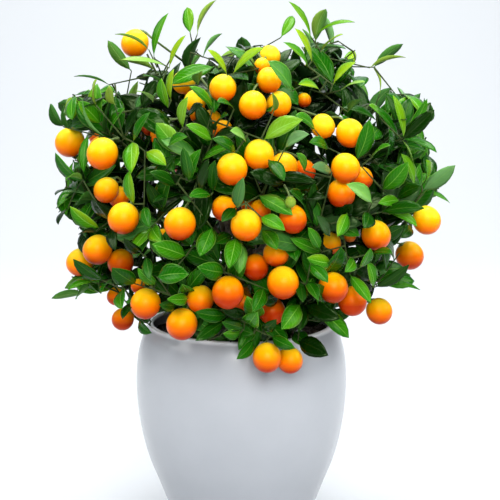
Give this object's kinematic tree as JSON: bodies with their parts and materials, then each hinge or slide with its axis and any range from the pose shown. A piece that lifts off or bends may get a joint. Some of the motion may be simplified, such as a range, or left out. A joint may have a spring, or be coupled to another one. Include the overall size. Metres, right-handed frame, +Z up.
{
  "type": "kumquat bonsai",
  "caption": "Small citrus tree with round orange fruits among narrow glossy leaves, in a tall ovoid glazed jar pot that tapers to its foot",
  "frame": {"origin": "centre of the pot's flat foot, on the surface that it stands on", "axes": "+Z up along the pot's axis; -Y is the side that the picture shows, +X to its right"},
  "size_m": [0.4176, 0.3998, 0.5638],
  "materials": {
    "pot": "glossy",
    "soil": "matte",
    "trunk": "matte",
    "leaves": "satin",
    "fruit": "satin"
  },
  "bodies": {
    "root": {"pot": "pot", "soil": "soil", "trunk": "trunk", "spray_01": "leaves", "spray_02": "leaves", "spray_03": "leaves", "spray_04": "leaves", "spray_05": "leaves", "spray_06": "leaves", "spray_07": "leaves", "spray_08": "leaves", "spray_09": "leaves", "spray_10": "leaves", "spray_11": "leaves", "spray_12": "leaves", "spray_13": "leaves", "spray_14": "leaves", "spray_15": "leaves", "spray_16": "leaves", "spray_17": "leaves", "spray_18": "leaves", "spray_19": "leaves", "spray_20": "leaves", "spray_21": "leaves", "spray_22": "leaves", "spray_23": "leaves", "spray_24": "leaves", "spray_25": "leaves", "spray_26": "leaves", "spray_27": "leaves", "fruit_01": "fruit", "fruit_02": "fruit", "fruit_03": "fruit", "fruit_04": "fruit", "fruit_05": "fruit", "fruit_06": "fruit", "fruit_07": "fruit", "fruit_08": "fruit", "fruit_09": "fruit", "fruit_10": "fruit", "fruit_11": "fruit", "fruit_12": "fruit", "fruit_13": "fruit", "fruit_14": "fruit", "fruit_15": "fruit", "fruit_16": "fruit", "fruit_17": "fruit", "fruit_18": "fruit", "fruit_19": "fruit", "fruit_20": "fruit", "fruit_21": "fruit", "fruit_22": "fruit", "fruit_23": "fruit", "fruit_24": "fruit", "fruit_25": "fruit", "fruit_26": "fruit", "fruit_27": "fruit", "fruit_28": "fruit", "fruit_29": "fruit", "fruit_30": "fruit"}
  },
  "joints": []
}
